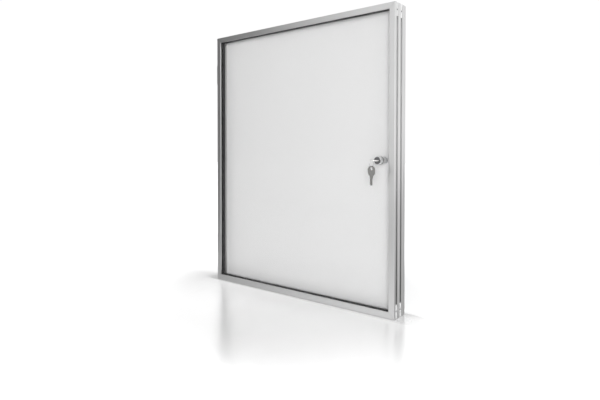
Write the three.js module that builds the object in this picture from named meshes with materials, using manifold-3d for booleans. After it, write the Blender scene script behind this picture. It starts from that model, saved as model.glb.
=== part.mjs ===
// A lockable notice board: a shallow wall case with a hinged, glazed door, a cam lock and two keys.
// Millimetres, +Z up, the door faces -Y and the wall lies behind the origin, towards +Y.
// The origin is on the rear face of the case's top rail, halfway along it, where the board meets the wall.

import * as THREE from "three";
import { mergeVertices } from "three/addons/utils/BufferGeometryUtils.js";
import Module from "manifold-3d";

const wasm = await Module();
wasm.setup();

// Overall sizes
const boardWidth = 616;
const boardHeight = 750;
const doorDepth = 22;
const caseDepth = 33.4;
const doorGap = 0.6; // air between the shut door and the case

// Fits shared by all pieces
const slack = 0.3; // clearance of a piece in the groove or hole that holds it
const seatGap = 0.1; // glue line, or a part screwed flat against another
const mitreGap = 0.15; // each rail end stops this short of the mitre plane
const overrun = 2; // how far a cutter reaches past a face

// Frame extrusions: a box section with a T-slot in its outer side and a lip round the opening
const faceWidth = 15; // outer side to the edge of the opening
const boxWidth = 10; // outer side to the inner wall of the box section
const wall = 1.3;
const slotOpening = 7.5;
const slotCavity = 12;
const slotLip = 1.6;
const slotBottom = 7.4; // floor of the T-slot, from the outer side
const softEdge = 0.4; // small flat on each exposed corner

// Door extrusion
const doorSlotCentre = 12; // from the front face
const doorEdgeRadius = 1.2; // rounding of the outer front edge
const doorLipDepth = 3.4; // depth of the edge that frames the pane
const beadGrooveWidth = 3;
const beadGrooveDepth = 1.1;
const beadGrooveToBack = 5; // rear face of the door to the near side of the bead groove

// Case extrusion
const caseSlotCentre = 10; // from the front of the case
const caseEdgeRadius = 1; // rounding of the outer front edge
const caseLip = 1.5; // front lip, which the lock's cam catches behind
const camPocket = 4.6; // open groove behind the front lip
const panelRib = 1.3; // ribs before and behind the back panel
const frontRibWidth = 2.5;
const rearRibWidth = 4;
const rearBand = 11.5; // the last stretch of the outer side leans in
const rearLean = 0.8;
const sealGrooveStart = 3.5;
const sealGrooveWidth = 4;
const sealGrooveDepth = 1.6;

// Corner connectors in the T-slots
const cornerArm = 33;
const cornerScrewInset = 17.5;
const cornerScrewHole = 4.4;
const cornerScrewDepth = 2.6;
const cornerSink = 0.2; // the connector lies this far below the outer side

// Door glazing
const paneThickness = 4;
const paneCorner = 2;
const beadLeg = 0.8; // bead in front of the pane and round its edge
const beadInset = 0.2; // bead stands back from the edge of the lip
const beadToBack = 1.8; // bead to the rear face of the door
const beadChamfer = 1;

// Back panel: enamelled steel, fibreboard and a galvanised rear sheet
const magneticSheet = 1;
const coreBoard = 6;
const rearSheet = 0.8;
const panelCorner = 1;

// Hinges, screwed into the T-slots of the left side
const hingeLength = 60;
const hingeFromEnd = 113; // end of the board to the middle of the hinge
const leafThickness = 3;
const leafReach = 19.8; // pin to the free edge of a leaf
const leafCorner = 3;
const knuckleRadius = 3.6;
const knuckleOut = 4; // pin to the outer side of the frame
const middleKnuckle = 24;
const knuckleGap = 0.6;
const pinRadius = 1.9;
const pinFit = 0.1; // running clearance between pin and knuckle
const pinHead = 0.8;
const hingeScrewSpacing = 36;
const hingeScrewRadius = 2;
const hingeScrewHead = 3.8; // radius of the countersunk head
const hingeScrewCone = 2;
const slotNutLength = 50;
const slotNutThickness = 3;
const slotNutTip = 1.6; // screw end beyond the slot nut

// Cam lock
const lockFromLip = 25.8; // edge of the opening to the lock's axis
const lockAboveMiddle = 1.5;
const barrelProud = 9.5; // barrel face to the front of the door
const barrelRadius = 9.2;
const barrelEdge = 0.9; // chamfer of the barrel face
const threadRadius = 8;
const paneHoleSlack = 0.4;
const lockWasher = 1;
const washerRim = 0.5; // washer wider than the barrel
const nutThickness = 4.5;
const nutAcrossFlats = 20;
const nutSides = 6;
const plugRadius = 6;
const plugHeadRadius = 7.4;
const plugHead = 1.6;
const keyway = 22; // depth of the keyway
const tailSquare = 7;
const camThickness = 2;
const camPlay = 0.9; // cam to the lip that it catches behind
const camEndPlay = 1; // cam tip to the case's inner wall
const camHubRadius = 8;
const camTipRadius = 4.5;
const camScrewHead = 1.6;
const camScrewHeadRadius = 5;
const camScrewRadius = 2;
const camScrewLength = 6;

// Keys and their ring
const keyThickness = 1.9;
const bladeLength = 18;
const bladeWidth = 6.4;
const bladeTip = 2.5;
const biteDepth = 1.6;
const biteHalfWidth = 0.96;
const biteShares = [0.2, 0.36, 0.52, 0.68, 0.84]; // places of the bites along the blade
const neckLength = 6;
const neckStraight = 4.5; // from the shoulder, before the neck curves out to the bow
const neckWidth = 8;
const bowLength = 22;
const bowWidth = 19;
const bowHoleLength = 8;
const bowHoleWidth = 6.4;
const bowBar = 2.6; // bow between its hole and its end
const ringRadius = 9;
const ringWire = 0.6;

// Hangers behind the top rail
const hangerWidth = 44;
const hangerDrop = 34;
const hangerSheet = 1.5;
const hangerFromEnd = 105;
const hangerSetBack = 0.5; // hanger to the wall plane
const hangerBend = 1.5;
const keyholeRadius = 5;
const keyholeSlot = 5.4;
const keyholeRise = 9;
const keyholeBottom = 9; // lower edge of the hanger to the round part of the keyhole
const hangerScrewRadius = 2.2; // of the holes for the screws that hold the hanger to the rail
const hangerScrewSpacing = 28;

// Facets of a quarter of a small corner, of a half of a key or cam, and of a full round
const cornerSegments = 4;
const paneSegments = 8;
const arcSegments = 12;
const roundSegments = 24;
const lockSegments = 36;
const ringSegments = 32;
const wireSegments = 8;

// Angles
const quarterTurn = Math.PI / 2;
const halfTurn = Math.PI;
const threeQuarters = halfTurn + quarterTurn;
const fullTurn = halfTurn * 2;

// Places worked out from the sizes above
const leftSide = -boardWidth / 2;
const rightSide = boardWidth / 2;
const caseFront = doorDepth + doorGap;
const wallPlane = caseFront + caseDepth;
const doorSlotY = doorSlotCentre;
const caseSlotY = caseFront + caseSlotCentre;
const paneFront = doorLipDepth + slack + beadLeg;
const paneBack = paneFront + paneThickness;
const paneEdge = boxWidth + slack + beadLeg + slack;
const camFront = caseFront + caseLip + camPlay;
const panelGroove = caseLip + camPocket + panelRib;
const panelStack = magneticSheet + seatGap + coreBoard + seatGap + rearSheet;
const panelGrooveEnd = panelGroove + slack + panelStack + slack;
const panelEdge = boxWidth + slack;
const panelFront = caseFront + panelGroove + slack;
const lockX = rightSide - faceWidth - lockFromLip;
const lockZ = boardHeight / 2 + lockAboveMiddle;
const hingeX = leftSide - knuckleOut;
const hingeY = doorDepth + doorGap / 2;
const hingeHeights = { lower: hingeFromEnd, upper: boardHeight - hingeFromEnd };
const keyOut = neckLength + bowLength;
const hangHeight = boardHeight - boxWidth / 2;

// Materials
const finish = (color, roughness, metalness) =>
  new THREE.MeshStandardMaterial({ color, roughness, metalness });
const anodised = finish(0xb9babb, 0.38, 0.9);
const connectorPlastic = finish(0xdedfe0, 0.5, 0);
const blackRubber = finish(0x1b1b1c, 0.8, 0);
const whiteEnamel = finish(0xe6e7e8, 0.35, 0);
const fibreboard = finish(0x8a6a48, 0.9, 0);
const galvanised = finish(0xa9adb0, 0.5, 0.8);
const hingeSteel = finish(0xb4b6b8, 0.35, 0.9);
const chrome = finish(0xd8d9da, 0.12, 1);
const keySteel = finish(0xaaaaa8, 0.25, 1);
const clearAcrylic = new THREE.MeshStandardMaterial({
  color: 0xf2f5f5,
  roughness: 0.04,
  metalness: 0,
  transparent: true,
  opacity: 0.25,
});

// Solids and meshes

function welded(geometry) {
  const bare = geometry.clone();
  bare.deleteAttribute("normal");
  bare.deleteAttribute("uv");
  return mergeVertices(bare);
}

function solid(geometry) {
  const bare = welded(geometry);
  const mesh = new wasm.Mesh({
    numProp: 3,
    vertProperties: bare.getAttribute("position").array,
    triVerts: new Uint32Array(bare.index.array),
  });
  return new wasm.Manifold(mesh);
}

function surface(body) {
  const { vertProperties, triVerts } = body.getMesh();
  const geometry = new THREE.BufferGeometry();
  geometry.setAttribute("position", new THREE.BufferAttribute(vertProperties, 3));
  geometry.setIndex(new THREE.BufferAttribute(triVerts, 1));
  return geometry;
}

const joined = (first, ...others) =>
  surface(others.reduce((body, other) => body.add(solid(other)), solid(first)));

const drilled = (block, ...cutters) =>
  surface(cutters.reduce((body, cutter) => body.subtract(solid(cutter)), solid(block)));

function piece(name, geometry, material) {
  const mesh = new THREE.Mesh(geometry, material);
  mesh.name = name;
  return mesh;
}

// Outlines

function polygon(points) {
  return new THREE.Shape(points.map(([x, y]) => new THREE.Vector2(x, y)));
}

function rectangle(left, bottom, right, top) {
  return polygon([
    [left, bottom],
    [right, bottom],
    [right, top],
    [left, top],
  ]);
}

function roundedRectangle(left, bottom, right, top, radius) {
  const shape = new THREE.Shape();
  shape.absarc(right - radius, bottom + radius, radius, -quarterTurn, 0);
  shape.absarc(right - radius, top - radius, radius, 0, quarterTurn);
  shape.absarc(left + radius, top - radius, radius, quarterTurn, halfTurn);
  shape.absarc(left + radius, bottom + radius, radius, halfTurn, threeQuarters);
  return shape;
}

function circle(x, y, radius) {
  const path = new THREE.Path();
  path.absarc(x, y, radius, 0, fullTurn);
  return path;
}

const slab = (shape, depth, curveSegments = cornerSegments) =>
  new THREE.ExtrudeGeometry(shape, { depth, bevelEnabled: false, curveSegments });

// A plate whose outline is drawn in x and z, from its front face at y back to y + thickness
function uprightPlate(shape, y, thickness, curveSegments) {
  const plate = slab(shape, thickness, curveSegments);
  plate.rotateX(quarterTurn);
  plate.translate(0, y + thickness, 0);
  return plate;
}

// A round bar along x, y or z, from one point for a length in the positive direction
function bar(axis, start, length, radius, endRadius = radius, segments = roundSegments) {
  const rod = new THREE.CylinderGeometry(endRadius, radius, length, segments);
  rod.translate(0, length / 2, 0);
  if (axis === "x") rod.rotateZ(-quarterTurn);
  if (axis === "z") rod.rotateX(quarterTurn);
  rod.translate(...start);
  return rod;
}

// A turned piece round the y axis, from a closed outline of [radius, y] points
function turned(points, segments = lockSegments) {
  const outline = points.map(([radius, y]) => new THREE.Vector2(radius, y));
  outline.push(outline[0].clone());
  return new THREE.LatheGeometry(outline, segments);
}

// The frame: an outline is drawn in [across, back], from the outer side inwards and from front to back.
// Each side of the board has its own group, in which x runs across, y runs back and z runs along the side.

const AXIS = {
  right: new THREE.Vector3(1, 0, 0),
  left: new THREE.Vector3(-1, 0, 0),
  back: new THREE.Vector3(0, 1, 0),
  up: new THREE.Vector3(0, 0, 1),
  down: new THREE.Vector3(0, 0, -1),
};

const sides = [
  {
    name: "rail_top",
    corner: "top_left",
    length: boardWidth,
    start: [leftSide, boardHeight],
    inward: AXIS.down,
    along: AXIS.right,
  },
  {
    name: "stile_right",
    corner: "top_right",
    length: boardHeight,
    start: [rightSide, boardHeight],
    inward: AXIS.left,
    along: AXIS.down,
  },
  {
    name: "rail_bottom",
    corner: "bottom_right",
    length: boardWidth,
    start: [rightSide, 0],
    inward: AXIS.up,
    along: AXIS.left,
  },
  {
    name: "stile_left",
    corner: "bottom_left",
    length: boardHeight,
    start: [leftSide, 0],
    inward: AXIS.right,
    along: AXIS.up,
  },
];

function sideGroup({ start: [x, z], inward, along }, back) {
  const group = new THREE.Group();
  group.quaternion.setFromRotationMatrix(new THREE.Matrix4().makeBasis(inward, AXIS.back, along));
  group.position.set(x, back, z);
  return group;
}

// A length of extrusion, each end cut at 45 degrees across its width
function mitredLength(shape, length) {
  const rail = slab(shape, length);
  const position = rail.getAttribute("position");
  for (let i = 0; i < position.count; i += 1) {
    const across = position.getX(i);
    const farEnd = position.getZ(i) > length / 2;
    position.setZ(i, farEnd ? length - across - mitreGap : across + mitreGap);
  }
  return rail;
}

// The T-slot as a run of outline points, entered from the back of the outer side
function slotOutline(centre) {
  return [
    [0, centre + slotOpening / 2],
    [slotLip, centre + slotOpening / 2],
    [slotLip, centre + slotCavity / 2],
    [slotBottom, centre + slotCavity / 2],
    [slotBottom, centre - slotCavity / 2],
    [slotLip, centre - slotCavity / 2],
    [slotLip, centre - slotOpening / 2],
    [0, centre - slotOpening / 2],
  ];
}

function doorProfile() {
  const grooveEnd = doorDepth - beadGrooveToBack;
  const grooveStart = grooveEnd - beadGrooveWidth;
  const shape = new THREE.Shape();
  shape.absarc(doorEdgeRadius, doorEdgeRadius, doorEdgeRadius, halfTurn, threeQuarters);
  const rest = [
    [faceWidth - softEdge, 0],
    [faceWidth, softEdge],
    [faceWidth, doorLipDepth],
    [faceWidth - wall, doorLipDepth],
    [faceWidth - wall, wall],
    [boxWidth, wall],
    [boxWidth, grooveStart],
    [boxWidth - beadGrooveDepth, grooveStart],
    [boxWidth - beadGrooveDepth, grooveEnd],
    [boxWidth, grooveEnd],
    [boxWidth, doorDepth - softEdge],
    [boxWidth - softEdge, doorDepth],
    [softEdge, doorDepth],
    [0, doorDepth - softEdge],
    ...slotOutline(doorSlotCentre),
  ];
  rest.forEach(([across, back]) => shape.lineTo(across, back));
  const slotFront = doorSlotCentre - slotCavity / 2;
  const slotBack = doorSlotCentre + slotCavity / 2;
  shape.holes.push(rectangle(wall, wall, boxWidth - wall, slotFront - wall));
  shape.holes.push(rectangle(wall, slotBack + wall, boxWidth - wall, doorDepth - wall));
  return shape;
}

function caseProfile() {
  const sealGrooveEnd = sealGrooveStart + sealGrooveWidth;
  const shape = new THREE.Shape();
  shape.absarc(caseEdgeRadius, caseEdgeRadius, caseEdgeRadius, halfTurn, threeQuarters);
  const rest = [
    [sealGrooveStart, 0],
    [sealGrooveStart, sealGrooveDepth],
    [sealGrooveEnd, sealGrooveDepth],
    [sealGrooveEnd, 0],
    [faceWidth - softEdge, 0],
    [faceWidth, softEdge],
    [faceWidth, caseLip],
    [boxWidth, caseLip],
    [boxWidth, caseLip + camPocket],
    [boxWidth + frontRibWidth, caseLip + camPocket],
    [boxWidth + frontRibWidth, panelGroove],
    [boxWidth, panelGroove],
    [boxWidth, panelGrooveEnd],
    [boxWidth + rearRibWidth, panelGrooveEnd],
    [boxWidth + rearRibWidth, panelGrooveEnd + panelRib],
    [boxWidth, panelGrooveEnd + panelRib],
    [boxWidth, caseDepth - softEdge],
    [boxWidth - softEdge, caseDepth],
    [rearLean + softEdge, caseDepth],
    [rearLean, caseDepth - softEdge],
    [0, caseDepth - rearBand],
    ...slotOutline(caseSlotCentre),
  ];
  rest.forEach(([across, back]) => shape.lineTo(across, back));
  const slotBack = caseSlotCentre + slotCavity / 2;
  shape.holes.push(rectangle(wall + rearLean, slotBack + wall, boxWidth - wall, caseDepth - wall));
  return shape;
}

// Sweeps an outline through stations that each place its points; the last joins the first on a closed ring
function sweep(outline, stations, closed) {
  const ordered = THREE.ShapeUtils.isClockWise(outline) ? [...outline].reverse() : outline;
  const points = stations.flatMap((place) => ordered.flatMap(({ x, y }) => place(x, y)));
  const count = ordered.length;
  const faces = [];
  const steps = closed ? stations.length : stations.length - 1;
  for (let step = 0; step < steps; step += 1) {
    const near = step * count;
    const far = ((step + 1) % stations.length) * count;
    for (let i = 0; i < count; i += 1) {
      const next = (i + 1) % count;
      faces.push(near + i, near + next, far + next, near + i, far + next, far + i);
    }
  }
  if (!closed) {
    const last = (stations.length - 1) * count;
    THREE.ShapeUtils.triangulateShape(ordered, []).forEach(([a, b, c]) => {
      faces.push(a, c, b, last + a, last + b, last + c);
    });
  }
  const geometry = new THREE.BufferGeometry();
  geometry.setAttribute("position", new THREE.Float32BufferAttribute(points, 3));
  geometry.setIndex(faces);
  return geometry;
}

// A ring of one section that runs round all four sides of the board, with mitred corners
function frameRing(section, back) {
  return sweep(
    section.map(([x, y]) => new THREE.Vector2(x, y)),
    [
      (across, depth) => [leftSide + across, back + depth, boardHeight - across],
      (across, depth) => [rightSide - across, back + depth, boardHeight - across],
      (across, depth) => [rightSide - across, back + depth, across],
      (across, depth) => [leftSide + across, back + depth, across],
    ],
    true,
  );
}

// A corner connector: an elbow that fills the T-slots of two sides from their shared corner
function cornerConnector(slotCentre) {
  const neck = slotOpening / 2 - slack;
  const head = slotCavity / 2 - slack;
  const shoulder = slotLip + slack;
  const floor = slotBottom - slack;
  const section = [
    [cornerSink, slotCentre - neck],
    [shoulder, slotCentre - neck],
    [shoulder, slotCentre - head],
    [floor, slotCentre - head],
    [floor, slotCentre + head],
    [shoulder, slotCentre + head],
    [shoulder, slotCentre + neck],
    [cornerSink, slotCentre + neck],
  ].map(([x, y]) => new THREE.Vector2(x, y));
  const elbow = sweep(
    section,
    [
      (across, depth) => [cornerArm, depth, across],
      (across, depth) => [across, depth, across],
      (across, depth) => [across, depth, cornerArm],
    ],
    false,
  );
  const depth = cornerSink + cornerScrewDepth + overrun;
  const radius = cornerScrewHole / 2;
  return drilled(
    elbow,
    bar("x", [-overrun, slotCentre, cornerScrewInset], depth, radius),
    bar("z", [cornerScrewInset, slotCentre, -overrun], depth, radius),
  );
}

function frame(prefix, profile, slotCentre, back) {
  const group = new THREE.Group();
  for (const side of sides) {
    const holder = sideGroup(side, back);
    holder.add(piece(`${prefix}_${side.name}`, mitredLength(profile, side.length), anodised));
    holder.add(piece(`${prefix}_corner_${side.corner}`, cornerConnector(slotCentre), connectorPlastic));
    group.add(holder);
  }
  return group;
}

// Glazing: one rubber bead holds the pane behind the lip and hides the inner wall of the door frame

function glazingBead() {
  const outer = boxWidth + slack;
  const inner = faceWidth - beadInset;
  const front = doorLipDepth + slack / 2;
  const grooveEnd = doorDepth - beadGrooveToBack - slack;
  const grooveStart = doorDepth - beadGrooveToBack - beadGrooveWidth + slack;
  const tongue = boxWidth - beadGrooveDepth + slack;
  const back = doorDepth - beadToBack;
  return frameRing(
    [
      [outer, front],
      [inner, front],
      [inner, front + beadLeg],
      [outer + beadLeg, front + beadLeg],
      [outer + beadLeg, paneBack + slack],
      [inner, paneBack + slack],
      [inner, back - beadChamfer],
      [inner - beadChamfer, back],
      [outer, back],
      [outer, grooveEnd],
      [tongue, grooveEnd],
      [tongue, grooveStart],
      [outer, grooveStart],
    ],
    0,
  );
}

function clearPane() {
  const half = rightSide - paneEdge;
  const shape = roundedRectangle(-half, paneEdge, half, boardHeight - paneEdge, paneCorner);
  shape.holes.push(circle(lockX, lockZ, threadRadius + paneHoleSlack));
  return uprightPlate(shape, paneFront, paneThickness, paneSegments);
}

function caseSeal() {
  const left = sealGrooveStart + slack;
  const right = sealGrooveStart + sealGrooveWidth - slack;
  const crest = slack - doorGap;
  return frameRing(
    [
      [left, 0],
      [left + softEdge, crest],
      [right - softEdge, crest],
      [right, 0],
      [right, sealGrooveDepth - slack],
      [left, sealGrooveDepth - slack],
    ],
    caseFront,
  );
}

// One sheet of the back panel, from its front face y
function panelSheet(y, thickness) {
  const half = rightSide - panelEdge;
  const shape = roundedRectangle(-half, panelEdge, half, boardHeight - panelEdge, panelCorner);
  return uprightPlate(shape, y, thickness);
}

// Hinges: the leaves lie on the outer side, drawn round the pin, with back as +y and up as +z

function hingeLeaf(towardsBack, slotY) {
  const away = towardsBack ? 1 : -1;
  const half = hingeLength / 2;
  const clear = knuckleRadius + knuckleGap;
  const inside = middleKnuckle / 2;
  const bands = towardsBack
    ? [
        [-half, -inside - knuckleGap],
        [inside + knuckleGap, half],
      ]
    : [[-inside, inside]];
  const sideX = knuckleOut - seatGap;
  const flat = (low, high, from, to, corner) => {
    const near = Math.min(away * from, away * to);
    const far = Math.max(away * from, away * to);
    const plate = slab(roundedRectangle(near, low, far, high, corner), leafThickness);
    plate.applyMatrix4(new THREE.Matrix4().makeBasis(AXIS.back, AXIS.up, AXIS.right));
    plate.translate(sideX - leafThickness, 0, 0);
    return plate;
  };
  const tabs = bands.map(([low, high]) => flat(low, high, 0, clear + leafCorner, softEdge));
  const knuckles = bands.map(([low, high]) => bar("z", [0, 0, low], high - low, knuckleRadius));
  const leaf = joined(flat(-half, half, clear, leafReach, leafCorner), ...tabs, ...knuckles);
  const bore = bar("z", [0, 0, -half - overrun], hingeLength + overrun * 2, pinRadius + pinFit);
  const holeX = sideX - leafThickness;
  const holeY = slotY - hingeY;
  const hole = hingeScrewRadius + slack;
  const cone = hingeScrewHead + slack;
  const holes = hingeScrewHeights().flatMap((z) => [
    bar("x", [holeX - overrun, holeY, z], leafThickness + overrun * 2, hole),
    bar("x", [holeX, holeY, z], hingeScrewCone, cone, hole),
    bar("x", [holeX - overrun, holeY, z], overrun, cone),
  ]);
  return drilled(leaf, bore, ...holes);
}

function hingeScrewHeights() {
  return [-hingeScrewSpacing / 2, hingeScrewSpacing / 2];
}

// A slot nut with its two screws driven home
function hingeFixing(slotY) {
  const y = slotY - hingeY;
  const nutX = knuckleOut + slotLip + slack;
  const width = slotCavity / 2 - slack;
  const half = slotNutLength / 2;
  const nut = slab(roundedRectangle(y - width, -half, y + width, half, softEdge), slotNutThickness);
  nut.applyMatrix4(new THREE.Matrix4().makeBasis(AXIS.back, AXIS.up, AXIS.right));
  nut.translate(nutX, 0, 0);
  const headX = knuckleOut - seatGap - leafThickness;
  const length = nutX + slotNutThickness + slotNutTip - headX;
  const screws = hingeScrewHeights().flatMap((z) => [
    bar("x", [headX, y, z], length, hingeScrewRadius),
    bar("x", [headX, y, z], hingeScrewCone, hingeScrewHead, hingeScrewRadius),
  ]);
  return joined(nut, ...screws);
}

function hingePin() {
  const half = hingeLength / 2 + seatGap;
  const outline = [
    [0, -half - pinHead],
    [knuckleRadius - softEdge, -half - pinHead],
    [knuckleRadius, -half],
    [pinRadius, -half],
    [pinRadius, half],
    [knuckleRadius, half],
    [knuckleRadius - softEdge, half + pinHead],
    [0, half + pinHead],
  ];
  return turned(outline, roundSegments).rotateX(quarterTurn);
}

function hinge(name, z) {
  const group = new THREE.Group();
  group.position.set(hingeX, hingeY, z);
  group.add(piece(`hinge_case_leaf_${name}`, hingeLeaf(true, caseSlotY), hingeSteel));
  group.add(piece(`hinge_door_leaf_${name}`, hingeLeaf(false, doorSlotY), hingeSteel));
  group.add(piece(`hinge_pin_${name}`, hingePin(), hingeSteel));
  group.add(piece(`hinge_case_fixing_${name}`, hingeFixing(caseSlotY), galvanised));
  group.add(piece(`hinge_door_fixing_${name}`, hingeFixing(doorSlotY), galvanised));
  return group;
}

// The lock, drawn round its axis with y as in the board

const barrelEnd = camFront - slack;
const barrelShoulder = paneFront - seatGap - lockWasher - seatGap;

function lockBarrel() {
  const bore = plugRadius + pinFit;
  const counterbore = plugHeadRadius + pinFit;
  const headFloor = plugHead + slack - barrelProud;
  return turned([
    [counterbore, -barrelProud],
    [barrelRadius - barrelEdge, -barrelProud],
    [barrelRadius, barrelEdge - barrelProud],
    [barrelRadius, barrelShoulder],
    [threadRadius, barrelShoulder],
    [threadRadius, barrelEnd],
    [bore, barrelEnd],
    [bore, headFloor],
    [counterbore, headFloor],
  ]);
}

function lockWasherRing(y) {
  const inner = threadRadius + slack;
  const outer = barrelRadius + washerRim;
  return turned([
    [inner, y],
    [outer, y],
    [outer, y + lockWasher],
    [inner, y + lockWasher],
  ]);
}

function lockNut() {
  const front = paneBack + seatGap + lockWasher + seatGap;
  const corner = nutAcrossFlats / 2 / Math.cos(halfTurn / nutSides);
  const corners = Array.from({ length: nutSides }, (_, i) => {
    const angle = (fullTurn * i) / nutSides;
    return [corner * Math.cos(angle), corner * Math.sin(angle)];
  });
  const shape = polygon(corners);
  shape.holes.push(circle(0, 0, threadRadius + slack));
  return uprightPlate(shape, front, nutThickness, roundSegments);
}

function squareBar(side, y, length) {
  return uprightPlate(rectangle(-side / 2, -side / 2, side / 2, side / 2), y, length);
}

// The keyway, from the face of the plug
function keySlot(face) {
  const half = bladeWidth / 2 + slack;
  const flat = keyThickness / 2 + slack;
  return uprightPlate(rectangle(-half, -flat, half, flat), face - overrun, keyway + overrun);
}

function lockPlug() {
  const face = -barrelProud;
  const core = turned([
    [0, face],
    [plugHeadRadius, face],
    [plugHeadRadius, face + plugHead],
    [plugRadius, face + plugHead],
    [plugRadius, barrelEnd],
    [0, barrelEnd],
  ]);
  const tail = squareBar(tailSquare, barrelEnd - overrun, overrun + slack + camThickness);
  const boreStart = [0, camFront + camThickness - camScrewLength, 0];
  const screwBore = bar("y", boreStart, camScrewLength + overrun, camScrewRadius + slack);
  return drilled(joined(core, tail), keySlot(face), screwBore);
}

// At rest the cam points away from the stile, unlocked; half a turn takes it behind the case's lip
function lockCam() {
  const reach = lockFromLip + faceWidth - boxWidth - camEndPlay;
  const tip = reach - camTipRadius;
  const lean = Math.asin((camHubRadius - camTipRadius) / tip);
  const shape = new THREE.Shape();
  shape.absarc(0, 0, camHubRadius, -quarterTurn - lean, quarterTurn + lean);
  shape.absarc(-tip, 0, camTipRadius, quarterTurn + lean, threeQuarters - lean);
  const half = tailSquare / 2 + slack;
  shape.holes.push(rectangle(-half, -half, half, half));
  return uprightPlate(shape, camFront, camThickness, arcSegments);
}

function camScrew() {
  const seat = camFront + camThickness + seatGap;
  const outline = [
    [0, seat + camScrewHead],
    [0, seat - camScrewLength + slack],
    [camScrewRadius, seat - camScrewLength + slack],
    [camScrewRadius, seat],
    [camScrewHeadRadius, seat],
    [camScrewHeadRadius, seat + camScrewHead - softEdge],
    [camScrewHeadRadius - softEdge, seat + camScrewHead],
  ];
  return turned(outline, roundSegments);
}

// A key, drawn flat: its blade points back from the shoulder at y 0, its bow stands forward
function keyBlank() {
  const half = bladeWidth / 2;
  const neck = neckWidth / 2;
  const bowRadius = bowWidth / 2;
  const bowCentre = -(keyOut - bowRadius);
  const shape = new THREE.Shape();
  shape.moveTo(half, 0);
  for (const share of biteShares) {
    const y = bladeLength * share;
    shape.lineTo(half, y - biteHalfWidth);
    shape.lineTo(half - biteDepth, y);
    shape.lineTo(half, y + biteHalfWidth);
  }
  shape.lineTo(bladeTip / 2, bladeLength);
  shape.lineTo(-bladeTip / 2, bladeLength);
  shape.lineTo(-half, bladeLength - bladeTip);
  shape.lineTo(-half, 0);
  shape.lineTo(-neck, 0);
  shape.lineTo(-neck, -neckStraight);
  shape.quadraticCurveTo(-bowRadius, -neckLength, -bowRadius, bowCentre);
  shape.absarc(0, bowCentre, bowRadius, halfTurn, fullTurn);
  shape.quadraticCurveTo(bowRadius, -neckLength, neck, -neckStraight);
  shape.lineTo(neck, 0);
  const holeHalf = bowHoleWidth / 2;
  const holeNear = bowBar - keyOut + holeHalf;
  const holeFar = holeNear + bowHoleLength - bowHoleWidth;
  const hole = new THREE.Path();
  hole.absarc(0, holeNear, holeHalf, halfTurn, fullTurn);
  hole.absarc(0, holeFar, holeHalf, 0, halfTurn);
  shape.holes.push(hole);
  const key = slab(shape, keyThickness, arcSegments);
  key.translate(0, 0, -keyThickness / 2);
  return key;
}

function keys() {
  const group = new THREE.Group();
  const shoulder = -barrelProud - slack;
  const barY = shoulder - keyOut + bowBar / 2;
  const ringDrop = ringRadius - Math.hypot(bowBar, keyThickness) / 2 - ringWire - slack;
  const inLock = piece("key_in_lock", keyBlank(), keySteel);
  inLock.position.set(0, shoulder, 0);
  const loop = new THREE.TorusGeometry(ringRadius, ringWire, wireSegments, ringSegments);
  const ring = piece("key_ring", loop, chrome);
  ring.rotation.y = quarterTurn;
  ring.position.set(0, barY, -ringDrop);
  const spare = piece("spare_key", keyBlank(), keySteel);
  const wireZ = -ringDrop - ringRadius;
  spare.rotation.x = -quarterTurn;
  spare.position.set(0, barY, wireZ + ringWire + slack + bowBar - keyOut);
  group.add(inLock, ring, spare);
  return group;
}

function lock() {
  const group = new THREE.Group();
  group.position.set(lockX, 0, lockZ);
  group.add(piece("lock_barrel", lockBarrel(), chrome));
  group.add(piece("lock_front_washer", lockWasherRing(barrelShoulder + seatGap), blackRubber));
  group.add(piece("lock_rear_washer", lockWasherRing(paneBack + seatGap), blackRubber));
  group.add(piece("lock_nut", lockNut(), chrome));
  group.add(piece("lock_plug", lockPlug(), chrome));
  group.add(piece("lock_cam", lockCam(), galvanised));
  group.add(piece("cam_screw", camScrew(), galvanised));
  group.add(keys());
  return group;
}

// Hangers: bent sheet under the top rail, each with a keyhole for a wall screw

function hanger(x) {
  const top = boardHeight - boxWidth - seatGap;
  const back = wallPlane - hangerSetBack;
  const front = caseFront + panelGrooveEnd + panelRib + slack;
  const bend = new THREE.Shape();
  bend.moveTo(front, top);
  bend.absarc(back - hangerBend, top - hangerBend, hangerBend, quarterTurn, 0, true);
  bend.lineTo(back, top - hangerDrop);
  bend.lineTo(back - hangerSheet, top - hangerDrop);
  bend.lineTo(back - hangerSheet, top - hangerSheet);
  bend.lineTo(front, top - hangerSheet);
  const sheet = slab(bend, hangerWidth);
  sheet.applyMatrix4(new THREE.Matrix4().makeBasis(AXIS.back, AXIS.up, AXIS.right));
  sheet.translate(x - hangerWidth / 2, 0, 0);
  const roundZ = top - hangerDrop + keyholeBottom + keyholeRadius;
  const slotTop = roundZ + keyholeRise;
  const cut = back - hangerSheet - overrun;
  const cutDepth = hangerSheet + overrun * 2;
  const slotHalf = keyholeSlot / 2;
  const keyhole = [
    bar("y", [x, cut, roundZ], cutDepth, keyholeRadius),
    uprightPlate(rectangle(x - slotHalf, roundZ, x + slotHalf, slotTop), cut, cutDepth),
    bar("y", [x, cut, slotTop], cutDepth, slotHalf),
  ];
  const legMiddle = (front + back - hangerBend) / 2;
  const screwBottom = top - hangerSheet - overrun;
  const screwXs = [x - hangerScrewSpacing / 2, x + hangerScrewSpacing / 2];
  const screwHoles = screwXs.map((screwX) =>
    bar("z", [screwX, legMiddle, screwBottom], cutDepth, hangerScrewRadius),
  );
  return drilled(sheet, ...keyhole, ...screwHoles);
}

// Assembly

const board = new THREE.Group();
board.position.set(0, -wallPlane, -hangHeight);

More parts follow.
